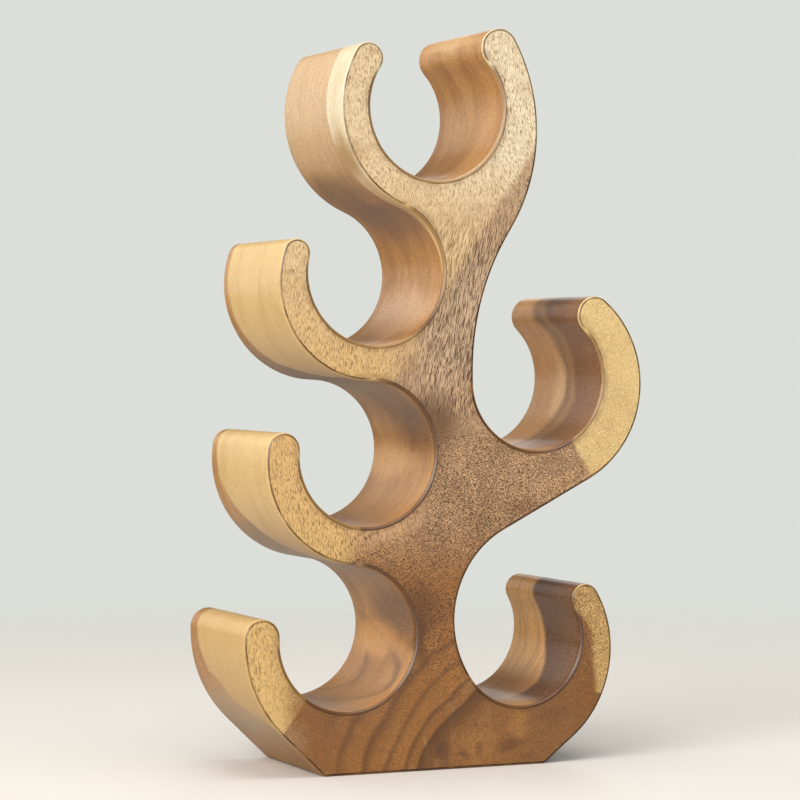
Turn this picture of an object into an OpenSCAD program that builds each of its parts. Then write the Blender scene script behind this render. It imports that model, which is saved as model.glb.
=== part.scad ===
// Wooden wine rack, carved from one upright block of wood. Six bottles lie in open
// cradles: three on the left, two on the right and one at the top.
// Millimetres, +X to the right, +Y to the back and +Z up. The origin is on the floor
// below the middle of the rack, halfway between the front and back faces.

/* [Block] */
// Thickness of the block, from the front face to the back face
depth = 94; // [70:1:120]
// Radius of the rounding along all front and back edges
edge_r = 3; // [1:0.5:5]

/* [Bottles] */
// Width of the cradles
cradle_d = 86; // [80:1:92]
// Width of the lower right cradle, which is tighter
low_right_d = 79; // [76:1:86]

/* [Lower left cradle] */
// Distance from the rack's middle to the cradle's near side
low_left_near = 21.5; // [16:0.5:28]
// Height of the wood below the cradle
low_left_floor = 37.5; // [30:0.5:46]
// Width of the arm at the height of the bottle's middle
low_left_arm = 22.5; // [16:0.5:30]
// Angle that the arm reaches up round the bottle
low_left_wrap = 2; // [0:1:30]

/* [Middle left cradle] */
// Distance from the rack's middle to the cradle's near side
mid_left_near = 9; // [4:0.5:17]
// Height of the wood between it and the cradle below
mid_left_web = 22.5; // [14:0.5:36]
// Width of the arm at the height of the bottle's middle
mid_left_arm = 21; // [16:0.5:28]
// Drop of the outer curve's middle below the bottle's middle
mid_left_drop = 4.5; // [0:0.5:9]
// Angle that the arm reaches up round the bottle
mid_left_wrap = 3; // [0:1:30]

/* [Upper left cradle] */
// Distance from the rack's middle to the cradle's near side
up_left_near = 3.5; // [0:0.5:11]
// Height of the wood between it and the cradle below
up_left_web = 21; // [14:0.5:34]
// Width of the arm at the height of the bottle's middle
up_left_arm = 18.5; // [15:0.5:26]
// Drop of the outer curve's middle below the bottle's middle
up_left_drop = 6; // [0:0.5:10]
// Angle that the arm reaches up round the bottle
up_left_wrap = 12; // [0:1:35]

/* [Top cradle] */
// Distance of its middle from the rack's middle, to the left
top_x = 7; // [0:0.5:14]
// Height of the wood between it and the cradle below
top_web = 12; // [8:0.5:26]
// Width of its left arm at the height of the bottle's middle
top_left_arm = 18.5; // [14:0.5:26]
// Angle that the left arm reaches up round the bottle
top_left_wrap = 32; // [10:1:50]
// Width of its right arm at the height of the bottle's middle
top_right_arm = 23; // [16:0.5:30]
// Angle that the right arm reaches up round the bottle
top_right_wrap = 42; // [15:1:55]
// Drop of the right arm's outer curve below the bottle's middle
top_right_drop = 12; // [6:0.5:18]
// Radius of the right arm's outer curve
top_right_r = 109.5; // [90:0.5:130]

/* [Upper right cradle] */
// Distance from the rack's middle to the cradle's near side
up_right_near = 16.5; // [11:0.5:23]
// Height of the wood below the cradle
up_right_floor = 25; // [18:0.5:34]
// Height of the arm's underside above the hollow in the trunk's right side
up_right_rise = 15.5; // [8:0.5:30]
// Width of the arm at the height of the bottle's middle
up_right_arm = 27.5; // [20:0.5:34]
// Drop of the outer curve's middle below the bottle's middle
up_right_drop = 3; // [0:0.5:8]
// Angle that the arm reaches up round the bottle
up_right_wrap = 45; // [10:1:60]

/* [Lower right cradle] */
// Distance from the rack's middle to the cradle's near side
low_right_near = 9; // [4:0.5:16]
// Height of the wood below the cradle
low_right_floor = 36; // [30:0.5:46]
// Width of the arm at the height of the bottle's middle
low_right_arm = 21.5; // [16:0.5:28]
// Drop of the outer curve's middle below the bottle's middle
low_right_drop = 7; // [2:0.5:10]
// Angle that the arm reaches up round the bottle
low_right_wrap = 28; // [5:1:45]

/* [Trunk] */
// Radius of the hollow between the two right cradles
waist_r = 60.5; // [52:0.5:70]
// Angle round the lower right cradle at which that hollow takes over
waist_start = 218.5; // [200:0.5:230]
// Radius of the trunk's right side between the upper right cradle and the top
trunk_r = 154; // [120:1:250]

/* [Foot] */
// Distance of the foot's left end beyond the middle of the lower left cradle
foot_left = 15.5; // [8:0.5:24]
// Distance of the foot's right end beyond the middle of the lower right cradle
foot_right = 15.5; // [8:0.5:24]
// Angle between the floor and the left side just above the foot
flare_left = 44; // [35:1:50]
// Angle between the floor and the right side just above the foot
flare_right = 38; // [30:1:45]

/* [Hidden] */

// Largest distance between a true arc and its facets
sag = 0.1;
// Facets in the rounding of an edge
edge_steps = 3;
// How much rounder the foot's two ends are than the edges
foot_margin = 1;
foot_r = edge_r + foot_margin;

cradle_r = cradle_d / 2;
low_right_r = low_right_d / 2;

// Middles of the cradles
low_left = [-low_left_near - cradle_r, low_left_floor + cradle_r];
mid_left = [-mid_left_near - cradle_r, low_left.y + cradle_d + mid_left_web];
up_left = [-up_left_near - cradle_r, mid_left.y + cradle_d + up_left_web];
top = [-top_x, up_left.y + cradle_d + top_web];
low_right = [low_right_near + low_right_r, low_right_floor + low_right_r];

// A round is [middle, radius]. The radius of a hollow one is negative. All angles along
// the outline are those of the normal that points out of the wood.
function along(a) = [cos(a), sin(a)];
function angle_of(v) = atan2(v.y, v.x);
function dot(a, b) = a * b;

// Radius of the curve that stands upright at x, with its middle at height z, and runs
// without a kink into the cradle of radius r at c
function reach(x, z, c, r) =
    let (a = x - c.x, b = z - c.y)
    (a * a + b * b - r * r) / (2 * (r - a));

// Outer side of a left arm, which runs down into the cradle below
function left_arm(c, arm, drop, below) =
    let (x = c.x - cradle_r - arm, z = c.y - drop, r = reach(x, z, below, cradle_r))
    [[x + r, z], r];

// Outer side of a right arm with its own radius
function right_arm(c, arm, drop, r) = [[c.x + cradle_r + arm - r, c.y - drop], r];

// Outer side of one of the lowest arms. It stands upright beside the cradle of radius r
// at c and leaves at the flare angle for the foot, which ends a distance foot beyond c.
function foot_arm(c, r, arm, drop, foot, flare, side) =
    let (z = c.y - drop, outer_r = (cos(flare) * z - sin(flare) * (r + arm - foot)) / (1 - sin(flare)))
    [[c.x + side * (r + arm - outer_r), z], outer_r];

// Round end of an arm, which touches the cradle c of radius r and the arm's outer side
function tip(c, r, outer, a) =
    let (w = c - outer[0], s = outer[1] + r)
    let (d = (s * s - dot(w, w)) / (2 * (s + dot(w, along(a)))))
    [c + d * along(a), d - r];

// End of the foot, rounded between the floor and the flared side
function foot_end(x, flare, side) = [[x - side * foot_r * tan(flare / 2), foot_r], foot_r];

// Middle of the hollow round that touches the round a from inside and the round b from
// outside
function bridge(a, b, r) =
    let (p = r + a[1], q = r + b[1], v = b[0] - a[0], l = norm(v))
    let (m = (p * p - q * q + l * l) / (2 * l))
    a[0] + (m * v + sqrt(p * p - m * m) * [v.y, -v.x]) / l;

// Hollow in the trunk's right side. It runs on from the lower right cradle, and the
// upper right cradle stands above it.
waist = [low_right + (low_right_r - waist_r) * along(waist_start), -waist_r];
up_right = [
    up_right_near + cradle_r,
    waist[0].y + waist_r + up_right_rise + up_right_floor + cradle_r
];

low_left_side = foot_arm(low_left, cradle_r, low_left_arm, 0, foot_left, flare_left, -1);
mid_left_side = left_arm(mid_left, mid_left_arm, mid_left_drop, low_left);
up_left_side = left_arm(up_left, up_left_arm, up_left_drop, mid_left);
top_left_side = left_arm(top, top_left_arm, 0, up_left);
top_right_side = right_arm(top, top_right_arm, top_right_drop, top_right_r);
up_right_side = right_arm(
    up_right, up_right_arm, up_right_drop, cradle_r + up_right_floor - up_right_drop
);
low_right_side = foot_arm(
    low_right, low_right_r, low_right_arm, low_right_drop, foot_right, flare_right, 1
);
trunk = [bridge([up_right, -cradle_r], top_right_side, trunk_r), -trunk_r];

// Normal of the straight line that runs from round a to round b and touches both
function straight(a, b) =
    let (v = b[0] - a[0])
    angle_of(v) - acos((a[1] - b[1]) / norm(v));

// The outline, counter-clockwise as seen from the front. Each round touches the next
// one, unless a straight line lies between them, whose normal is then the third value.
outline = [
    tip(top, cradle_r, top_left_side, 180 - top_left_wrap),
    top_left_side,
    [up_left, -cradle_r],
    tip(up_left, cradle_r, up_left_side, 180 - up_left_wrap),
    up_left_side,
    [mid_left, -cradle_r],
    tip(mid_left, cradle_r, mid_left_side, 180 - mid_left_wrap),
    mid_left_side,
    [low_left, -cradle_r],
    tip(low_left, cradle_r, low_left_side, 180 - low_left_wrap),
    [low_left_side[0], low_left_side[1], 270 - flare_left],
    concat(foot_end(low_left.x - foot_left, flare_left, -1), [270]),
    concat(foot_end(low_right.x + foot_right, flare_right, 1), [270 + flare_right]),
    low_right_side,
    tip(low_right, low_right_r, low_right_side, low_right_wrap),
    [low_right, -low_right_r],
    concat(waist, [straight(waist, up_right_side)]),
    up_right_side,
    tip(up_right, cradle_r, up_right_side, up_right_wrap),
    [up_right, -cradle_r],
    trunk,
    top_right_side,
    tip(top, cradle_r, top_right_side, top_right_wrap),
    [top, -cradle_r]
];

// Normal where two rounds touch each other
function meeting(a, b) =
    let (from_a = a[1] * b[1] < 0 || abs(a[1]) > abs(b[1]))
    angle_of((from_a ? b[0] - a[0] : a[0] - b[0]) * sign(a[1]));

function leaving(i) =
    let (a = outline[i], b = outline[(i + 1) % len(outline)])
    len(a) == 3 ? a[2] : meeting(a, b);

// Angle that the outline turns by along round i, negative in a hollow
function turn(i) =
    let (s = sign(outline[i][1]), n = len(outline))
    let (a = (leaving(i) - leaving((i + n - 1) % n)) * s)
    s * ((a % 360 + 360) % 360);

function facets(i) = max(1, ceil(abs(turn(i)) / (2 * acos(1 - sag / abs(outline[i][1])))));

// Points of the whole outline, moved inward by the inset. Where two rounds touch, the
// point that they share is listed once.
function ring(inset) = [
    for (i = [0:len(outline) - 1])
        let (o = outline[i], n = facets(i), t = turn(i), a = leaving(i) - t)
        for (j = [0:len(o) == 3 ? n : n - 1])
            o[0] + (o[1] - inset) * along(a + t * j / n)
];

function inside(p, a, b, c) =
    cross(b - a, p - a) >= 0 && cross(c - b, p - b) >= 0 && cross(a - c, p - c) >= 0;

// Corner i of the polygon is an ear when it bends outward and no other corner lies in it
function is_ear(pts, left, a, b, c) =
    cross(pts[b] - pts[a], pts[c] - pts[b]) > 0 &&
    len([
        for (k = left)
            if (k != a && k != b && k != c && inside(pts[k], pts[a], pts[b], pts[c])) k
    ]) == 0;

// Triangles that fill a polygon, cut off one ear after the other. It ends when a whole
// turn has found no more ears.
function fill(pts, left, i = 0, idle = 0, done = []) =
    let (n = len(left), a = left[i % n], b = left[(i + 1) % n], c = left[(i + 2) % n])
    n == 3 || idle == n ? concat(done, [left]) :
    is_ear(pts, left, a, b, c)
        ? fill(pts, [for (k = left) if (k != b) k], i % n, 0, concat(done, [[a, b, c]]))
        : fill(pts, left, i + 1, idle + 1, done);

// Rings of the rounded block, from the front face to the back face
function layers() = concat(
    [for (k = [0:edge_steps]) let (a = 90 * k / edge_steps)
        [edge_r * (1 - sin(a)), -depth / 2 + edge_r * (1 - cos(a))]],
    [for (k = [0:edge_steps]) let (a = 90 * k / edge_steps)
        [edge_r * (1 - cos(a)), depth / 2 - edge_r * (1 - sin(a))]]
);

module rack() {
    rings = [for (l = layers()) [for (p = ring(l[0])) [p.x, l[1], p.y]]];
    face = ring(edge_r);
    n = len(face);
    last = n * (len(rings) - 1);
    cap = fill(face, [for (i = [0:n - 1]) i]);
    color("#a97a48")
        polyhedron(
            points = [for (r = rings) each r],
            faces = concat(
                [for (t = cap) [t[0], t[2], t[1]]],
                [for (t = cap) [last + t[0], last + t[1], last + t[2]]],
                [for (k = [0:len(rings) - 2]) for (i = [0:n - 1])
                    let (j = (i + 1) % n)
                    each [
                        [k * n + i, k * n + j, (k + 1) * n + j],
                        [k * n + i, (k + 1) * n + j, (k + 1) * n + i]
                    ]]
            ),
            convexity = 8
        );
}

rack();
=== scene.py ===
"""A wooden wine rack, carved from one upright block, on a pale floor in soft studio light.

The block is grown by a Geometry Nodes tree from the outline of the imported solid, and one
procedural wood runs through it as through a real block. Lengths are in metres, as in the
frame, and in millimetres inside the wood and wherever MM stands beside a number.
"""
import math
from functools import reduce

import bmesh
import bpy
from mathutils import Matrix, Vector


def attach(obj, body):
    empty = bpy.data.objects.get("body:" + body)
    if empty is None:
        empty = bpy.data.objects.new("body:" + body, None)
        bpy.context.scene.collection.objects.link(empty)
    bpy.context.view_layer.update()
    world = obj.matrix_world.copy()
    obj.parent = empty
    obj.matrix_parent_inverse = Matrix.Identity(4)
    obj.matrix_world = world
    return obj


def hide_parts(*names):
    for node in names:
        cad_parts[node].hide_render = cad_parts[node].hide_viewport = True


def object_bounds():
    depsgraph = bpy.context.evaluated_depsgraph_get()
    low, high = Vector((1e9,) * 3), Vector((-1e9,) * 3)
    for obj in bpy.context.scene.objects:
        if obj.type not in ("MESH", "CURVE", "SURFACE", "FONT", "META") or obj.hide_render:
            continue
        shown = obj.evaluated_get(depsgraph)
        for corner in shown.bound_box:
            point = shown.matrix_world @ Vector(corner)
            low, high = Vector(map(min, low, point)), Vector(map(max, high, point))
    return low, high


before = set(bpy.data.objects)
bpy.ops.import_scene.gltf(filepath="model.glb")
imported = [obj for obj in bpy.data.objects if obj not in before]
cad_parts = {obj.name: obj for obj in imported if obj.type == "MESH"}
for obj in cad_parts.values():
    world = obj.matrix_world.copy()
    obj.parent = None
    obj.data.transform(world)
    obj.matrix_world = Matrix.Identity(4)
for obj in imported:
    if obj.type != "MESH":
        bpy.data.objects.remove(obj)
cad_box = [list(corner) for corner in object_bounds()]
MM = 0.001
QUARTER_TURN = math.pi / 2


# Node trees written as formulas
class Number:
    """A number in a node tree, which can be reckoned with as in a formula."""

    def __init__(self, tree, socket):
        self.tree = tree
        self.socket = socket

    def __add__(self, other):
        return self.tree.math("ADD", self, other)

    def __sub__(self, other):
        return self.tree.math("SUBTRACT", self, other)

    def __rsub__(self, other):
        return self.tree.math("SUBTRACT", other, self)

    def __mul__(self, other):
        return self.tree.math("MULTIPLY", self, other)

    def __truediv__(self, other):
        return self.tree.math("DIVIDE", self, other)


class Tree:
    """Adds nodes to a tree and links them."""

    def __init__(self, tree):
        self.tree = tree

    def add(self, kind, inputs=(), **settings):
        node = self.tree.nodes.new(kind)
        for name, value in settings.items():
            setattr(node, name, value)
        for key, value in dict(inputs).items():
            self.feed(node.inputs[key], value)
        return node

    def feed(self, socket, value):
        """Links a socket to an output or a Number, or gives it a fixed value."""
        value = getattr(value, "socket", value)
        if isinstance(value, bpy.types.NodeSocket):
            self.tree.links.new(value, socket)
        else:
            socket.default_value = value

    def math(self, operation, *values, clamp=False):
        node = self.add("ShaderNodeMath", enumerate(values), operation=operation, use_clamp=clamp)
        return Number(self, node.outputs[0])

    def least(self, a, b):
        return self.math("MINIMUM", a, b)

    def most(self, a, b):
        return self.math("MAXIMUM", a, b)

    def vector(self, operation, *values):
        node = self.add("ShaderNodeVectorMath", operation=operation)
        for value, socket in zip(values, node.inputs):
            self.feed(socket, value)
        return node.outputs["Vector"]

    def scaled(self, vector, factor):
        inputs = {"Vector": vector, "Scale": factor}
        return self.add("ShaderNodeVectorMath", inputs, operation="SCALE").outputs["Vector"]

    def length(self, vector):
        node = self.add("ShaderNodeVectorMath", {0: vector}, operation="LENGTH")
        return Number(self, node.outputs["Value"])

    def combine(self, x, y, z):
        return self.add("ShaderNodeCombineXYZ", {"X": x, "Y": y, "Z": z}).outputs[0]

    def separate(self, vector):
        parts = self.add("ShaderNodeSeparateXYZ", {"Vector": vector}).outputs
        return [Number(self, part) for part in parts]

    def ramp(self, value, low, high, to_low=0.0, to_high=1.0, smooth=True):
        """Value taken from the range low to high over to another range, held at its ends."""
        node = self.add(
            "ShaderNodeMapRange",
            {"Value": value, 1: low, 2: high, 3: to_low, 4: to_high},
            interpolation_type="SMOOTHSTEP" if smooth else "LINEAR",
        )
        return Number(self, node.outputs["Result"])

    def course(self, value, stops):
        """A number that follows straight lines between (value, number) stops."""
        start, span = stops[0][0], stops[-1][0] - stops[0][0]
        low = min(number for _, number in stops)
        rise = max(number for _, number in stops) - low
        node = self.add("ShaderNodeValToRGB", {"Fac": (value - start) / span})
        elements = node.color_ramp.elements
        for place, number in stops:
            share = (place - start) / span
            if share == 0:
                element = elements[0]
            elif share == 1:
                element = elements[len(elements) - 1]
            else:
                element = elements.new(share)
            grey = (number - low) / rise
            element.color = (grey, grey, grey, 1.0)
        return Number(self, node.outputs["Color"]) * rise + low

    def noise(self, place, detail=2.0, roughness=0.5):
        """Smooth random number round 0.5 that changes over about one unit of place."""
        inputs = {"Vector": place, "Scale": 1.0, "Detail": detail, "Roughness": roughness}
        node = self.add("ShaderNodeTexNoise", inputs, noise_dimensions="3D")
        return Number(self, node.outputs["Fac"])

    def drift(self, place, size):
        """Smooth random shift of up to about half of size in every direction."""
        node = self.add("ShaderNodeTexNoise", {"Vector": place, "Scale": 1.0, "Detail": 2.0})
        middle = (0.5, 0.5, 0.5)
        return self.scaled(self.vector("SUBTRACT", node.outputs["Color"], middle), size)

    def mix(self, share, a, b):
        """Colour a with a share of colour b over it."""
        node = self.add("ShaderNodeMix", data_type="RGBA")
        self.feed(node.inputs["Factor"], share)
        self.feed(node.inputs[6], a)
        self.feed(node.inputs[7], b)
        return node.outputs[2]


def colour(red, green, blue):
    """Linear colour of an sRGB colour given as 0 to 255."""
    def linear(value):
        value = value / 255
        return value / 12.92 if value <= 0.04045 else ((value + 0.055) / 1.055) ** 2.4
    return (linear(red), linear(green), linear(blue), 1.0)


# Outline of the solid
SAME_PLACE = 1e-6
SAME_DEPTH = 1e-5
# A longer side than this is a straight line, and is cut into steps
STRAIGHT = 12 * MM
STRAIGHT_STEP = 6 * MM
# An inward bend sharper than this belongs to a cradle
CRADLE_CURVE = 1 / (50 * MM)
# Length along the outline over which one kind of edge blends into the other
SOFT_REACH = 12 * MM


def outline_points(node):
    """Corners of the solid's widest ring on its front half, in order, as (x, z)."""
    mesh = bmesh.new()
    mesh.from_mesh(node.data)
    bmesh.ops.remove_doubles(mesh, verts=mesh.verts, dist=SAME_PLACE)
    widest = min(abs(v.co.y) for v in mesh.verts)
    ring = {v for v in mesh.verts if v.co.y < 0 and abs(abs(v.co.y) - widest) < SAME_DEPTH}
    first = min(ring, key=lambda v: (v.co.z, abs(v.co.x)))
    order, before, here = [], None, first
    while here is not first or not order:
        order.append((here.co.x, here.co.z))
        ways = [e.other_vert(here) for e in here.link_edges if e.other_vert(here) in ring]
        before, here = here, next(v for v in ways if v is not before)
    mesh.free()
    area = sum(a[0] * b[1] - b[0] * a[1] for a, b in zip(order, order[1:] + order[:1]))
    return order if area > 0 else order[::-1]


def with_straights_cut(points):
    """The same outline with extra points on its straight lines, so that a smooth curve through
    all of them stays straight there."""
    result = []
    for a, b in zip(points, points[1:] + points[:1]):
        length = math.dist(a, b)
        parts = math.ceil(length / STRAIGHT_STEP) if length > STRAIGHT else 1
        result += [
            (a[0] + (b[0] - a[0]) * k / parts, a[1] + (b[1] - a[1]) * k / parts)
            for k in range(parts)
        ]
    return result


def softness(points):
    """1 at the cradles, whose edges are rounded more, and 0 elsewhere, blended in between."""
    n = len(points)
    steps = [math.dist(points[i], points[(i + 1) % n]) for i in range(n)]
    hollow = []
    for i in range(n):
        (ax, az), (bx, bz), (cx, cz) = points[i - 1], points[i], points[(i + 1) % n]
        turn = math.atan2(
            (bx - ax) * (cz - bz) - (bz - az) * (cx - bx),
            (bx - ax) * (cx - bx) + (bz - az) * (cz - bz),
        )
        bend = turn / ((steps[i - 1] + steps[i]) / 2)
        hollow.append(1.0 if bend < -CRADLE_CURVE else 0.0)
    run = [0.0]
    for step in steps:
        run.append(run[-1] + step)
    total = run[-1]
    soft = []
    for i in range(n):
        weight = value = 0.0
        for j in range(n):
            gap = abs(run[i] - run[j])
            gap = min(gap, total - gap)
            if gap < SOFT_REACH:
                share = (1 - gap / SOFT_REACH) * (steps[j] + steps[j - 1])
                weight += share
                value += share * hollow[j]
        soft.append(value / weight)
    return soft


def outline_mesh(node):
    """The outline as a closed chain of edges, lying in the XY plane."""
    points = with_straights_cut(outline_points(node))
    mesh = bpy.data.meshes.new("outline")
    n = len(points)
    mesh.from_pydata([(x, z, 0) for x, z in points], [(i, (i + 1) % n) for i in range(n)], [])
    mesh.attributes.new("soft", "FLOAT", "POINT").data.foreach_set("value", softness(points))
    return mesh


# The carved block
BLOCK = {
    "Depth": 0.094,
    "Outer edge": 1.6 * MM,
    "Cradle edge": 2.4 * MM,
    "Spacing": 1.5 * MM,
    "Edge rows": 6,
    "Depth rows": 14,
    "Unevenness": 0.6 * MM,
    "Lowest": cad_box[0],
    "Highest": cad_box[1],
}
SOCKET_KINDS = {int: "NodeSocketInt", float: "NodeSocketFloat", list: "NodeSocketVector"}
SEAM_GAP = 0.02 * MM
# The unevenness changes over about 70 mm, and sets in between these heights
UNEVEN_SCALE = 14.0
UNEVEN_START = (4 * MM, 30 * MM)


def carving_tree():
    """Walls round the outline with both their edges rounded, closed by the two faces."""
    group = bpy.data.node_groups.new("Carved block", "GeometryNodeTree")
    sockets = group.interface
    sockets.new_socket("Outline", in_out="INPUT", socket_type="NodeSocketGeometry")
    for name, value in BLOCK.items():
        sockets.new_socket(name, in_out="INPUT", socket_type=SOCKET_KINDS[type(value)])
    sockets.new_socket("Wood", in_out="INPUT", socket_type="NodeSocketMaterial")
    sockets.new_socket("Rack", in_out="OUTPUT", socket_type="NodeSocketGeometry")
    t = Tree(group)
    given = t.add("NodeGroupInput").outputs
    depth = Number(t, given["Depth"])
    bends = Number(t, given["Edge rows"])
    straights = Number(t, given["Depth rows"])

    def step(kind, inputs, **settings):
        return t.add("GeometryNode" + kind, inputs, **settings).outputs[0]

    def named(geometry, name, value):
        inputs = {"Geometry": geometry, "Name": name, "Value": value}
        return step("StoreNamedAttribute", inputs, data_type="FLOAT", domain="POINT")

    def shaded(geometry, smooth):
        return step("SetShadeSmooth", {"Geometry": geometry, "Shade Smooth": smooth})

    def moved_back(geometry, distance):
        inputs = {"Geometry": geometry, "Translation": t.combine(0.0, 0.0, distance * -1)}
        return step("Transform", inputs)

    def edge_radius(softness_here):
        ends = (given["Outer edge"], given["Cradle edge"])
        return t.ramp(softness_here, 0.0, 1.0, *ends, smooth=False)

    # The smooth outline, with its points at even spacing
    chain = step("MeshToCurve", {"Mesh": given["Outline"]})
    smooth = step("CurveSplineType", {"Curve": chain}, spline_type="CATMULL_ROM")
    even = step("ResampleCurve", {"Curve": smooth, "Length": given["Spacing"]}, mode="LENGTH")
    size = t.add("GeometryNodeAttributeDomainSize", {0: even}, component="CURVE")
    count = Number(t, size.outputs["Point Count"])

    # A grid with one column for each point of the outline and one row for each step in depth
    rows = bends * 2 + straights + 1
    grid = step("MeshGrid", {"Vertices X": count + 1, "Vertices Y": rows})
    index = Number(t, step("InputIndex", {}))
    column = t.math("FLOOR", (index + 0.5) / rows)
    row = index - column * rows
    soft_value = step("InputNamedAttribute", {"Name": "soft"}, data_type="FLOAT")
    sample = t.add(
        "GeometryNodeSampleCurve",
        {"Curves": even, "Value": soft_value, "Factor": column / count},
        mode="FACTOR", data_type="FLOAT", use_all_curves=True,
    ).outputs
    soft = sample["Value"]
    radius = edge_radius(soft)

    # Where each row lies: round the front edge, straight back, and round the back edge
    front = t.math("DIVIDE", row, bends, clamp=True) * QUARTER_TURN
    back = t.math("DIVIDE", row - bends - straights, bends, clamp=True) * QUARTER_TURN
    across = t.math("DIVIDE", row - bends, straights, clamp=True)
    bent = radius * (1 - t.math("COSINE", front) + t.math("SINE", back))
    behind = bent + (depth - radius * 2) * across
    rounding = 2 - t.math("SINE", front) - t.math("COSINE", back)
    along_x, along_y, _ = t.separate(sample["Tangent"])
    x, y, _ = t.separate(sample["Position"])
    inset = radius * rounding
    wall = t.combine(x - along_y * inset, y + along_x * inset, depth * 0.5 - behind)
    walls = step("SetPosition", {"Geometry": grid, "Position": wall})
    walls = shaded(named(named(walls, "rounding", rounding), "soft", soft), True)

    # The two faces
    along_x, along_y, _ = t.separate(step("InputTangent", {}))
    radius = edge_radius(soft_value)
    inward = t.combine(along_y * radius * -1, along_x * radius, 0.0)
    rim = step("SetPosition", {"Geometry": even, "Offset": inward})
    face = step("FillCurve", {"Curve": rim}, mode="NGONS")
    face = shaded(named(face, "rounding", 1.0), False)
    front_face = moved_back(face, depth * -0.5)
    back_face = moved_back(step("FlipFaces", {"Mesh": face}), depth * 0.5)
    join = t.add("GeometryNodeJoinGeometry")
    for part in (walls, front_face, back_face):
        t.feed(join.inputs[0], part)
    whole = step("MergeByDistance", {"Geometry": join.outputs[0], "Distance": SEAM_GAP})

    # Stood upright, and uneven as a hand leaves it, but flat where it meets the floor
    whole = step("Transform", {"Geometry": whole, "Rotation": (QUARTER_TURN, 0.0, 0.0)})
    position = step("InputPosition", {})
    height = t.separate(position)[2]
    strength = t.ramp(height, *UNEVEN_START, 0.0, given["Unevenness"])
    uneven = t.drift(t.scaled(position, UNEVEN_SCALE), strength)
    uneven = t.vector("MULTIPLY", uneven, (1.0, 0.0, 1.0))
    kept = t.vector("MINIMUM", t.vector("ADD", position, uneven), given["Highest"])
    kept = t.vector("MAXIMUM", kept, given["Lowest"])
    whole = step("SetPosition", {"Geometry": whole, "Position": kept})
    whole = step("RealizeInstances", {"Geometry": whole})
    whole = step("SetMaterial", {"Geometry": whole, "Material": given["Wood"]})
    t.add("NodeGroupOutput", {"Rack": whole})
    return group


def carved_rack(node, wood):
    """The rack as one plain mesh, grown from the outline of the solid."""
    blank = bpy.data.objects.new("blank", outline_mesh(node))
    bpy.context.scene.collection.objects.link(blank)
    grow = blank.modifiers.new("Carved block", "NODES")
    grow.node_group = carving_tree()
    for item in grow.node_group.interface.items_tree:
        if item.in_out == "INPUT" and item.name in BLOCK:
            grow[item.identifier] = BLOCK[item.name]
        elif item.in_out == "INPUT" and item.name == "Wood":
            grow[item.identifier] = wood
    seen = blank.evaluated_get(bpy.context.evaluated_depsgraph_get())
    mesh = bpy.data.meshes.new_from_object(seen)
    bpy.data.objects.remove(blank)
    mesh.name = "carved_rack"
    rack = bpy.data.objects.new("carved_rack", mesh)
    bpy.context.scene.collection.objects.link(rack)
    return rack


# Wood
FRONT = -47

# Middle of each cradle as x and z, and its radius
CRADLES = {
    "top": (-7.0, 394.0, 43.0),
    "upper left": (-46.5, 296.0, 43.0),
    "middle left": (-52.0, 189.0, 43.0),
    "lower left": (-64.5, 80.5, 43.0),
    "upper right": (59.5, 232.6, 43.0),
    "lower right": (48.5, 75.5, 39.5),
}

# Depth at which the pale sapwood ends, by the angle round a cradle: at the top, and on each
# arm between two heights
SAP_TOP = (
    (-150, -46), (-10, -45), (0, -36), (10, -30), (26, -29), (36, -23), (46, -15), (55, -13),
    (150, -12),
)
SAP_ARMS = (
    ("upper left", 226, 352, (
        (-75, -57), (-40, -48), (0, -43), (14, -36), (18, -9), (24, 1), (34, 22), (45, 31),
        (64, 37), (138, 43), (150, -70),
    )),
    ("middle left", 116, 237, (
        (-6, -70), (0, -52), (7, -46), (16, -34), (21, -20), (28, -12), (35, -3), (48, 11),
        (60, 25), (75, 36), (138, 43), (143, -70),
    )),
    ("lower left", -20, 125, (
        (28, -70), (36, -49), (43, -40), (49, -23), (53, -3), (65, 9), (70, 22), (85, 33),
        (138, 42), (146, -70),
    )),
    ("upper right", 150, 300, (
        (-140, -45.8), (-80, -45.8), (-35, -46), (-24, -49), (-18, -70),
    )),
)
# Where the heartwood starts on the face of each left arm: from and to in x, and in height
ARM_ROOTS = ((-55, -5, 238, 275), (-72, -48, 132, 170), (-110, -90, 40, 64))

# How often each pattern changes for each millimetre across, in depth and in height
WANDER_SCALE = 0.05
SLOW_SCALE = 0.022
WOBBLE_SCALE = (0.05, 0.03, 0.03)
LAYER_SCALE = (0.014, 0.3, 0.01)
FINE_LAYER_SCALE = (0.05, 1.7, 0.04)
CLOUD_SCALE = (0.02, 0.055, 0.02)
RING_SCALE = 0.04
LONG_DASH_SCALE = (2.8, 2.0, 0.13)
SHORT_DASH_SCALE = (3.3, 2.0, 0.34)
CURL_SCALE = 0.35
FLECK_SCALE = (1.0, 1.5, 2.6)
SPECKLE_SCALE = (1.3, 1.3, 0.8)
PATCHY_SCALE = 0.12

# How far random shifts move the colours, the grain, the flecks and the layers' ends
WANDER = 12.0
GRAIN_WANDER = 4.0
CURL = 2.5
WOBBLE = 7.0
# Turn of the flecks against the grain, in radians
CURL_TURN = 0.45

# Colours by height: the lowest one, then from, to and the next colour for each change
SAP_WALL = ((208, 168, 106), (60, 190, (224, 188, 126)), (330, 370, (232, 214, 178)))
SAP_FACE = ((216, 176, 112), (60, 190, (216, 174, 114)), (220, 320, (220, 189, 142)))
HEART_FACE = (
    (144, 92, 38),
    (30, 80, (168, 112, 56)), (108, 155, (208, 166, 122)), (190, 250, (202, 170, 136)),
)
SAP_VESSEL = ((112, 76, 36), (100, 360, (150, 114, 72)))
HEART_VESSEL = ((82, 50, 25), (80, 240, (88, 61, 42)))

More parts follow.
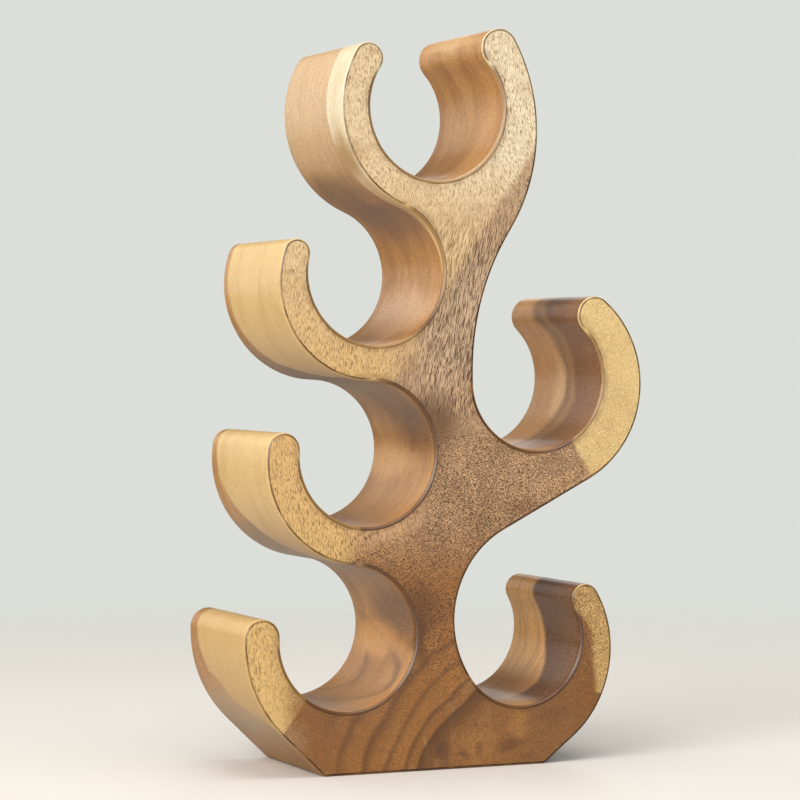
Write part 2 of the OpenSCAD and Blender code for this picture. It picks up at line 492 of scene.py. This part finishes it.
# Single colours of the sapwood
TOP_FACE_LEFT = colour(224, 198, 156)
TOP_FACE_RIGHT = colour(236, 216, 180)
RIGHT_ARM_SAP = colour(236, 204, 142)
SAP_CLOUD = colour(202, 158, 94)
SAP_LAYER = colour(192, 146, 88)

# Single colours of the heartwood
HEART_CLOUD = colour(146, 106, 68)
WALL_SHADE = colour(172, 118, 60)
WALL_LIGHT = colour(194, 141, 80)
TOP_LEFT_WALL = colour(216, 178, 132)
RIGHT_ARM_WALL = colour(238, 180, 114)
DARK_LAYER = colour(112, 74, 46)
LIGHT_LAYER = colour(206, 156, 98)
GOLD = colour(252, 192, 106)
GOLD_LAYER = colour(168, 106, 50)
LOWER_DARK_HEART = colour(84, 44, 16)
UPPER_DARK_HEART = colour(112, 68, 38)
STREAK = colour(98, 70, 48)
DARK_RING = colour(78, 46, 20)
LIGHT_RING = colour(184, 122, 56)

# Colours of the surface
DARK_SPECKLE = colour(96, 60, 30)
LIGHT_SPECKLE = colour(244, 206, 152)
FINE_LAYER = colour(116, 78, 44)
CRADLE_STAIN = colour(104, 70, 34)
# Burnished edges, on sapwood and on heartwood
OUTER_LINE = ((92, 62, 26), (58, 35, 16))
CRADLE_RIM = ((128, 92, 48), (84, 50, 24))
CRADLE_LIP = ((112, 78, 38), (64, 38, 18))

# Undersides of the arms and outer walls under them, greyed as a painted reflection of the pale
# floor: middle and colour
PAINTED_REFLECTION_REACH = (44, 90, 22)
PAINTED_UNDERSIDE_REFLECTIONS = (
    ((-75, 0, 243), (142, 110, 84)),
    ((-85, 0, 136), (150, 120, 92)),
    ((-112, 0, 34), (188, 156, 120)),
    ((-42, 0, 234), (160, 130, 102)),
    ((-58, 0, 124), (178, 152, 124)),
)

# Depth at which the dark heart ends on the right arms, by height
LOWER_DARK_END = (
    (20, -14), (46, -13), (56, -8), (66, -1), (80, 4), (94, 6), (104, 9), (150, 10),
)
UPPER_DARK_END = (
    (195, 4), (206, -2), (219, -4), (234, 0), (253, -2), (262, -5), (270, 6), (280, 12),
)

# Rings round the foot: their middle, and how light they are by their radius
RING_MIDDLE = (59, -27)
RINGS = (
    (60, 0.56), (72, 0.5), (76, 0.2), (83, 0.0), (85, 0.6), (89, 0.55), (92, 0.15), (94, 0.75),
    (101, 0.7), (104, 0.25), (107, 0.7), (113, 0.6), (118, 0.15), (121, 0.66), (129, 0.6),
    (133, 0.2), (137, 0.62), (144, 0.5), (149, 0.25), (156, 0.5),
)

# Stains, lighter places and knots, with painted shade in the roofs and painted sheen on the
# floors of the left cradles: middle, reach, strength and colour, laid on in this order
STAINS_AND_PAINTED_LIGHT = (
    # Painted shade: darker wood in the roof of the middle left cradle, where shade falls
    ("roof of the middle left cradle", (-8, -32, 206), (24, 50, 24), 0.75, (94, 56, 26)),
    ("foot", (30, 0, 8), (40, 60, 24), 0.4, (196, 140, 78)),
    # Painted shade in the roofs of the lower and upper left cradles and under the bend above the
    # upper one; the bend is also darker heartwood
    ("roof of the lower left cradle", (-20, -26, 95), (24, 54, 24), 0.75, (94, 58, 32)),
    ("roof of the upper left cradle", (-22, 0, 326), (26, 60, 26), 0.7, (118, 80, 44)),
    ("bend above the upper left cradle", (-46, 16, 346), (24, 50, 18), 0.6, (122, 90, 62)),
    ("outside of the top left arm", (-63, -36, 361), (14, 22, 22), 0.75, (176, 134, 80)),
    ("slope of the foot", (-108, -20, 22), (26, 60, 20), 0.35, (208, 178, 138)),
    ("tip of the top right arm", (24, 0, 439), (12, 60, 8), 0.5, (232, 192, 142)),
    ("inside of the upper right arm", (102, 9, 226), (16, 12, 30), 0.8, (250, 206, 146)),
    # Painted sheen: pale places on the floors of the three left cradles, standing for their soft
    # gloss
    ("floor of the upper left cradle", (-12, 0, 272), (26, 60, 24), 0.55, (240, 200, 162)),
    ("floor of the lower left cradle", (-52, 0, 40), (34, 60, 14), 0.5, (214, 166, 122)),
    ("floor of the middle left cradle", (-28, 0, 153), (30, 60, 14), 0.4, (216, 166, 120)),
    ("back of the lower left cradle", (-22, 14, 73), (14, 50, 15), 0.65, (236, 174, 104)),
    ("back of the middle left cradle", (-9, 22, 182), (12, 50, 17), 0.65, (236, 180, 114)),
    ("trunk over the middle left cradle", (-16, -14, 217), (26, 80, 22), 0.5, (104, 74, 52)),
    ("right side of the top cradle", (26, 0, 392), (16, 60, 26), 0.45, (226, 184, 126)),
    ("tip of the upper right arm", (90, -12, 281), (20, 24, 9), 0.7, (88, 70, 54)),
    ("face of the trunk", (8, -47, 203), (14, 20, 18), 0.2, (116, 86, 60)),
    ("face under the upper right cradle", (68, -47, 180), (16, 20, 9), 0.3, (110, 84, 70)),
    ("face below that", (49, -47, 156), (18, 20, 9), 0.45, (132, 84, 62)),
    ("face by the lower left cradle", (-18, -47, 78), (6, 20, 22), 0.7, (84, 48, 20)),
    ("right burl of the foot", (41, -47, 13), (13, 20, 6), 0.5, (84, 48, 28)),
    ("left burl of the foot", (-4, -47, 10), (9, 20, 13), 0.6, (80, 50, 34)),
    ("light wood between the burls", (20, -47, 14), (16, 20, 13), 0.3, (200, 136, 70)),
    ("light wood over the right burl", (46, -47, 26), (10, 20, 13), 0.45, (196, 134, 70)),
    ("left knot", (11, -47, 8), (4.5, 12, 3), 0.5, (74, 42, 24)),
    ("right knot", (21, -47, 10), (3.5, 12, 4.5), 0.45, (80, 46, 28)),
    ("right end of the foot", (70, -47, 30), (14, 20, 8), 0.35, (100, 66, 40)),
)

# How far the grain has leant to the right by each height, in the trunk and on the left arms
TRUNK_LEAN = ((0, 0), (200, 0), (345, 30), (392, 16), (440, 19))
LEFT_ARM_LEAN = (
    (20, 0), (120, -16), (126, 0), (228, -18), (234, 0), (338, -20), (344, 0), (440, 0),
)


class Wood:
    """The node tree of the wood, with the places and the slow patterns that its colours share.

    Places are in millimetres. Depth is y, from -47 at the front to 47 at the back. Angles are in
    degrees round a cradle's middle, from straight down and growing to the left.
    """

    def __init__(self, material):
        t = Tree(material.node_tree)
        self.tree = t
        self.place = t.scaled(t.add("ShaderNodeTexCoord").outputs["Object"], 1 / MM)
        self.x, self.y, self.z = t.separate(self.place)
        self.rounding = self.stored("rounding")
        self.soft = self.stored("soft")
        self.on_face = t.ramp(self.rounding, 0.85, 1.0)
        self.off_face = t.ramp(self.on_face, 1.0, 0.0)
        self.wandered = self.wandering(WANDER)
        self.slow = t.noise(t.scaled(self.place, SLOW_SCALE))
        self.wobble = self.pattern(self.place, WOBBLE_SCALE, detail=3.0) * WOBBLE - WOBBLE / 2
        # Growth layers, which lie almost parallel to the front
        self.layers = self.pattern(self.wandered, LAYER_SCALE, detail=3.0, roughness=0.62)
        self.fine_layers = self.pattern(self.wandered, FINE_LAYER_SCALE, detail=1.0)
        self.cloud = self.pattern(self.wandered, CLOUD_SCALE, detail=2.0)
        self.speckle = self.pattern(self.place, SPECKLE_SCALE, detail=2.0, roughness=0.6)
        # The right arms: 1 inside them, and 0 elsewhere
        upper = t.ramp(self.z, 165, 185) * t.ramp(self.z, 320, 290)
        self.upper_right = t.ramp(self.x, 60, 76) * upper
        self.lower_right = t.ramp(self.x, 52, 64) * t.ramp(self.z, 130, 120)
        self.heart = self.heartwood()

    def stored(self, name):
        """A number stored on the mesh."""
        attribute = self.tree.add("ShaderNodeAttribute", attribute_name=name)
        return Number(self.tree, attribute.outputs["Fac"])

    def wandering(self, size):
        """Places shifted smoothly, so that what follows them wanders."""
        t = self.tree
        return t.vector("ADD", self.place, t.drift(t.scaled(self.place, WANDER_SCALE), size))

    def pattern(self, place, scale, **settings):
        return self.tree.noise(self.tree.vector("MULTIPLY", place, scale), **settings)

    def angle_round(self, cradle):
        x, z, _ = CRADLES[cradle]
        angle = self.tree.math("ARCTAN2", x - self.x, z - self.z)
        return angle * (180 / math.pi)

    def outside(self, bottom, top):
        """0 between two heights, and a large drop outside them."""
        t = self.tree
        above = t.ramp(self.z, top - 3, top + 3, 0.0, -100.0)
        below = t.ramp(self.z, bottom - 12, bottom + 12, -100.0, 0.0)
        return above + below

    def patch(self, middle, reach, strength):
        """Soft round zone of the wood, from strength near its middle to 0 at its reach."""
        t = self.tree
        off = t.vector("DIVIDE", t.vector("SUBTRACT", self.wandered, middle), reach)
        return t.ramp(t.length(off), 0.3, 1.0, strength, 0.0)

    def by_height(self, lowest, *changes):
        """Colour that changes with height, as listed from the lowest one up."""
        tone = colour(*lowest)
        for start, end, above in changes:
            tone = self.tree.mix(self.tree.ramp(self.z, start, end), tone, colour(*above))
        return tone

    def by_wood(self, sap, heart):
        """One colour on the sapwood and another on the heartwood."""
        return self.tree.mix(self.heart, colour(*sap), colour(*heart))

    def heartwood(self):
        """1 in the heartwood and 0 in the sapwood, which ends at its own depth on each arm."""
        t, x, y, z = self.tree, self.x, self.y, self.z
        trunk_end = FRONT - (x * 1.5 - z + 288) * 0.12
        sap_end = t.least(t.course(self.angle_round("top"), SAP_TOP), trunk_end)
        for cradle, bottom, top, stops in SAP_ARMS:
            arm_end = t.course(self.angle_round(cradle), stops) + self.outside(bottom, top)
            sap_end = t.most(sap_end, arm_end)
        past_rim = x - 97 - (70 - z) * 0.08 + t.ramp(z, 78, 98, 0.0, 12.0)
        rim_end = past_rim * 0.25 + FRONT + self.outside(30, 150)
        rim_end = rim_end - t.ramp(x, 70, 80, 100.0, 0.0)
        sap_end = t.most(sap_end, rim_end)
        wobble = self.wobble * t.ramp(y, -44, -32, 0.15, 1.0)
        faded = t.ramp(z, 330, 350, 2.2, 0.4) * t.ramp(y, -46, -36)
        heart = t.ramp(y + wobble - sap_end, -0.6 - faded, faded + 0.8)
        left_side = t.ramp(x, 50, 30) * t.ramp(z, 300, 285)
        for left, right, low, high in ARM_ROOTS:
            root = t.ramp(x + self.wobble * 2, left, right) * t.ramp(z, high, low)
            root = root * t.ramp(z, low - 45, low - 30)
            heart = t.most(heart, root * self.on_face * left_side)
        return heart

    def sap_colour(self):
        t = self.tree
        top_face = t.mix(t.ramp(self.x, -20, 20), TOP_FACE_LEFT, TOP_FACE_RIGHT)
        face = t.mix(t.ramp(self.z, 320, 370), self.by_height(*SAP_FACE), top_face)
        tone = t.mix(self.on_face, self.by_height(*SAP_WALL), face)
        tone = t.mix(self.upper_right, tone, RIGHT_ARM_SAP)
        clouded = t.ramp(self.cloud, 0.45, 0.7, 0.0, 0.4)
        clouded = clouded * t.ramp(self.on_face, 0.0, 1.0, 1.0, 0.3)
        tone = t.mix(clouded, tone, SAP_CLOUD)
        layered = t.ramp(self.layers, 0.52, 0.75, 0.0, 0.35)
        layered = layered * t.ramp(self.on_face, 0.0, 1.0, 1.0, 0.4)
        return t.mix(layered, tone, SAP_LAYER)

    def heart_wall_colour(self):
        t = self.tree
        tone = t.mix(t.ramp(self.cloud, 0.35, 0.65), WALL_SHADE, WALL_LIGHT)
        top_left = t.ramp(self.z, 340, 370) * t.ramp(self.x, -20, -50)
        tone = t.mix(top_left, tone, TOP_LEFT_WALL)
        tone = t.mix(self.upper_right * 0.9, tone, RIGHT_ARM_WALL)
        # Painted reflection: greyer tones on the undersides stand for the pale floor mirrored in
        # them
        for middle, shade in PAINTED_UNDERSIDE_REFLECTIONS:
            tone = t.mix(self.patch(middle, PAINTED_REFLECTION_REACH, 0.8), tone, colour(*shade))
        return tone

    def heart_colour(self):
        t = self.tree
        face = self.by_height(*HEART_FACE)
        face = t.mix(t.ramp(self.slow, 0.4, 0.7, 0.0, 0.3), face, HEART_CLOUD)
        tone = t.mix(self.on_face, self.heart_wall_colour(), face)
        tone = t.mix(t.ramp(self.layers, 0.5, 0.75, 0.0, 0.28), tone, DARK_LAYER)
        tone = t.mix(t.ramp(self.layers, 0.46, 0.3, 0.0, 0.25), tone, LIGHT_LAYER)
        return self.with_rings(self.with_dark_heart(tone))

    def with_dark_heart(self, tone):
        """Dark heart in front of the golden wood, inside the right arms."""
        t, y, z = self.tree, self.y, self.z
        lower = self.lower_right * self.off_face
        golden = t.mix(t.ramp(self.layers, 0.45, 0.65, 0.0, 0.45), GOLD, GOLD_LAYER)
        tone = t.mix(lower * t.ramp(z, 42, 60), tone, golden)
        dark = t.ramp(t.course(z, LOWER_DARK_END) - y + self.wobble * 0.8, -3.0, 4.0)
        tone = t.mix(dark * lower * 0.95, tone, LOWER_DARK_HEART)
        dark_end = t.course(z, UPPER_DARK_END)
        dark = t.ramp(dark_end - y, 0.0, 14.0) * self.off_face
        tone = t.mix(self.upper_right * dark * 0.9, tone, UPPER_DARK_HEART)
        streak = t.ramp(t.math("ABSOLUTE", y - dark_end + self.wobble * 1.5), 14.0, 0.0)
        return t.mix(self.upper_right * streak * 0.7, tone, STREAK)

    def with_rings(self, tone):
        """Dark and light rings round the foot, whose middle shifts with the depth."""
        t, x, z = self.tree, self.x, self.z
        behind = self.y - FRONT
        middle_x, middle_z = RING_MIDDLE
        out = x - middle_x + behind * 0.15
        up = z - middle_z - behind * 0.25
        radius = t.length(t.combine(out, 0.0, up))
        uneven = t.noise(t.scaled(self.place, RING_SCALE), detail=1.0)
        radius = radius + uneven * WOBBLE - WOBBLE / 2
        light = t.course(radius, RINGS)
        near_foot = t.ramp(z, 110, 60) * t.ramp(x, -90, -60) * t.ramp(x, 60, 30)
        tone = t.mix(near_foot * t.ramp(light, 0.5, 0.0, smooth=False) * 0.85, tone, DARK_RING)
        return t.mix(near_foot * t.ramp(light, 0.5, 1.0, smooth=False) * 0.95, tone, LIGHT_RING)

    def with_stains_and_painted_light(self, tone):
        # Lays on stains, knots and lighter wood, and also painted shade in the cradle roofs and
        # painted sheen on their floors
        for _, middle, reach, strength, tint in STAINS_AND_PAINTED_LIGHT:
            tone = self.tree.mix(self.patch(middle, reach, strength), tone, colour(*tint))
        return tone

    def dashes(self):
        """Fine dashes along the grain, which leans left on the left arms and right in the trunk,
        and is curled into short flecks below the upper right cradle."""
        t, x, z = self.tree, self.x, self.z
        lean = t.course(z, TRUNK_LEAN) + t.course(z, LEFT_ARM_LEAN) * t.ramp(x, -30, -60)
        grain = t.vector("SUBTRACT", self.wandering(GRAIN_WANDER), t.combine(lean, 0.0, 0.0))
        dash = t.ramp(self.pattern(grain, SHORT_DASH_SCALE, detail=1.0), 0.53, 0.63)
        long_dash = t.ramp(self.pattern(grain, LONG_DASH_SCALE, detail=1.0), 0.47, 0.58)
        inputs = {"Vector": self.place, "Angle": CURL_TURN}
        turned = t.add("ShaderNodeVectorRotate", inputs, rotation_type="Y_AXIS").outputs[0]
        curled = t.vector("ADD", turned, t.drift(t.scaled(self.place, CURL_SCALE), CURL))
        fleck = t.ramp(self.pattern(curled, FLECK_SCALE, detail=1.0), 0.46, 0.56)

        wave = z + self.slow * 40 - 20
        in_trunk = t.ramp(wave, 200, 216) * t.ramp(z, 345, 315) * t.ramp(x, -40, -10)
        dash = dash + (long_dash - dash) * in_trunk
        below = t.ramp(wave, 210, 196) * t.ramp(x + t.ramp(z, 150, 110, 0.0, 90.0), -26, -8)
        in_curl = t.most(below, self.upper_right)
        return dash + (fleck - dash) * in_curl

    def vessels(self):
        """The dashes, fainter on the walls, at the foot and on the sapwood of the right arm."""
        t, z = self.tree, self.z
        right_sap = (1 - self.heart) * t.ramp(self.x, 70, 90, 0.0, 0.55)
        calm = 1 - right_sap * t.ramp(z, 140, 165) * t.ramp(z, 300, 290)
        calm = calm * t.ramp(z, 20, 90, 0.6, 1.0)
        return self.dashes() * t.ramp(self.rounding, 0.75, 1.0, 0.3, 1.0) * calm

    def with_vessels(self, tone, vessels):
        t = self.tree
        shade = t.mix(self.heart, self.by_height(*SAP_VESSEL), self.by_height(*HEART_VESSEL))
        return t.mix(vessels * t.ramp(self.slow, 0.3, 0.7, 0.85, 1.0), tone, shade)

    def with_speckles(self, tone):
        """Speckles along the walls, and fine layers, fainter on the sapwood."""
        t = self.tree
        less_on_sap = t.ramp(self.heart, 0.0, 1.0, 0.5, 1.0)
        on_wall = t.ramp(self.rounding, 0.7, 0.2) * less_on_sap
        tone = t.mix(t.ramp(self.speckle, 0.5, 0.68, 0.0, 0.3) * on_wall, tone, DARK_SPECKLE)
        tone = t.mix(t.ramp(self.speckle, 0.48, 0.3, 0.0, 0.22) * on_wall, tone, LIGHT_SPECKLE)
        fine = t.ramp(self.fine_layers, 0.5, 0.72, 0.0, 0.25)
        return t.mix(fine * less_on_sap, tone, FINE_LAYER)

    def with_edges(self, tone):
        """Burnished edges: a thin dark line outside, and a brown rim with a darker lip and a
        faint stain round each cradle."""
        t, rounding = self.tree, self.rounding
        patchy = t.noise(t.scaled(self.place, PATCHY_SCALE), detail=0.0)
        patchy = t.ramp(patchy, 0.35, 0.6, 0.35, 1.0)
        line = t.ramp(self.soft, 0.5, 0.1) * t.ramp(rounding, 0.1, 0.5)
        line = line * t.ramp(rounding, 1.0, 0.93)
        tone = t.mix(line * (patchy * 0.4 + 0.55), tone, self.by_wood(*OUTER_LINE))
        at_cradle = t.ramp(self.soft, 0.4, 0.9) * t.ramp(rounding, 1.0, 0.97)
        rim = at_cradle * t.ramp(rounding, 0.0, 0.2)
        tone = t.mix(rim * 0.85, tone, self.by_wood(*CRADLE_RIM))
        lip = at_cradle * t.ramp(rounding, 0.5, 0.8)
        tone = t.mix(lip * patchy * 0.8, tone, self.by_wood(*CRADLE_LIP))
        gaps = [
            t.length(t.combine(self.x - x, 0.0, self.z - z)) - radius
            for x, z, radius in CRADLES.values()
        ]
        tint = t.ramp(reduce(t.least, gaps), 6.0, 3.0) * t.ramp(rounding, 0.8, 1.0) * patchy
        return t.mix(tint * 0.3, tone, CRADLE_STAIN)


def wood_material():
    """Satin wood: pale sapwood and brown heartwood with fine dark vessels."""
    material = bpy.data.materials.new("satin_wood")
    material.use_nodes = True
    wood = Wood(material)
    t = wood.tree
    vessels = wood.vessels()
    tone = t.mix(wood.heart, wood.sap_colour(), wood.heart_colour())
    # Stains and knots, with painted shade in the cradle roofs and painted sheen on their floors
    tone = wood.with_stains_and_painted_light(tone)
    tone = wood.with_vessels(tone, vessels)
    tone = wood.with_speckles(tone)
    tone = wood.with_edges(tone)

    surface = material.node_tree.nodes["Principled BSDF"]
    height = 1 - vessels - wood.fine_layers * 0.3 - wood.speckle * 0.5
    inputs = {"Strength": 0.5, "Distance": 0.15 * MM, "Height": height}
    t.feed(surface.inputs["Normal"], t.add("ShaderNodeBump", inputs).outputs[0])
    t.feed(surface.inputs["Base Color"], tone)
    t.feed(surface.inputs["Roughness"], t.ramp(wood.rounding, 0.8, 1.0, 0.38, 0.5))
    surface.inputs["Coat Weight"].default_value = 0.35
    surface.inputs["Coat Roughness"].default_value = 0.2
    return material


# The rack
rack = carved_rack(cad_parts["rack"], wood_material())
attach(rack, "root")
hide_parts("rack")


# Floor, light and camera
FLOOR_RADIUS = 1.6
FLOOR_SIDES = 96
FLOOR_FADE = (0.45, 1.3)
FLOOR_SEEN = colour(222, 216, 208)
FLOOR_REFLECTED = colour(172, 162, 150)


def floor_material():
    """Pale floor that fades into the pale surroundings."""
    material = bpy.data.materials.new("pale_floor")
    material.use_nodes = True
    t = Tree(material.node_tree)
    surface = material.node_tree.nodes["Principled BSDF"]
    seen = t.add("ShaderNodeLightPath").outputs["Is Camera Ray"]
    t.feed(surface.inputs["Base Color"], t.mix(seen, FLOOR_REFLECTED, FLOOR_SEEN))
    surface.inputs["Roughness"].default_value = 0.55
    away = t.length(t.add("ShaderNodeTexCoord").outputs["Object"])
    t.feed(surface.inputs["Alpha"], t.ramp(away, *FLOOR_FADE, 1.0, 0.0))
    return material


def floor():
    mesh = bpy.data.meshes.new("floor")
    disc = bmesh.new()
    bmesh.ops.create_circle(disc, cap_ends=True, radius=FLOOR_RADIUS, segments=FLOOR_SIDES)
    disc.to_mesh(mesh)
    disc.free()
    mesh.materials.append(floor_material())
    obj = bpy.data.objects.new("floor", mesh)
    bpy.context.scene.collection.objects.link(obj)


# Lamps: name, place, height of the aim, width, power, and whether the wood mirrors them
LAMPS = (
    ("key", (-1.95, -1.05, 1.35), 0.25, 2.0, 55, True),
    ("fill", (-0.95, -2.0, 0.5), 0.25, 1.0, 19, True),
    ("above", (0.0, -0.3, 1.9), 0.2, 1.6, 20, True),
    ("window", (-0.9, 2.2, 0.9), 0.25, 1.6, 3, True),
    ("rear fill", (-1.3, 1.7, 0.8), 0.25, 1.4, 8, False),
    ("back", (1.3, 1.8, 1.2), 0.25, 1.6, 6, True),
)


def soft_lamp(name, place, aim_height, width, power, mirrored):
    data = bpy.data.lights.new(name, "AREA")
    data.shape = "DISK"
    data.size = width
    data.energy = power
    lamp = bpy.data.objects.new(name, data)
    lamp.location = place
    way = Vector((0, 0, aim_height)) - Vector(place)
    lamp.rotation_euler = way.to_track_quat("-Z", "Y").to_euler()
    lamp.visible_camera = False
    lamp.visible_glossy = mirrored
    bpy.context.scene.collection.objects.link(lamp)


SKY = colour(220, 223, 217)
SKY_HELD_BACK = {"Is Diffuse Ray": 0.5, "Is Glossy Ray": 0.8}


def pale_world():
    """Pale surroundings, which light the wood and show in it less than they are seen."""
    world = bpy.data.worlds.new("studio")
    world.use_nodes = True
    t = Tree(world.node_tree)
    sky = world.node_tree.nodes["Background"]
    sky.inputs["Color"].default_value = SKY
    ray = t.add("ShaderNodeLightPath").outputs
    strength = 1
    for kind, share in SKY_HELD_BACK.items():
        strength = strength - Number(t, ray[kind]) * share
    t.feed(sky.inputs["Strength"], strength)
    bpy.context.scene.world = world


CAMERA_PLACE = (-0.7328, -1.6464, 0.2486)
CAMERA_AZIMUTH = 23.67
CAMERA_DROP = 0.92
CAMERA_LENS = 133.0
CAMERA_SENSOR = 36


def camera():
    data = bpy.data.cameras.new("camera")
    data.lens = CAMERA_LENS
    data.sensor_width = CAMERA_SENSOR
    obj = bpy.data.objects.new("camera", data)
    obj.location = CAMERA_PLACE
    obj.rotation_euler = (math.radians(90 - CAMERA_DROP), 0, math.radians(-CAMERA_AZIMUTH))
    bpy.context.scene.collection.objects.link(obj)
    bpy.context.scene.camera = obj


floor()
for lamp in LAMPS:
    soft_lamp(*lamp)
pale_world()
camera()
bpy.context.scene.view_settings.view_transform = "Standard"
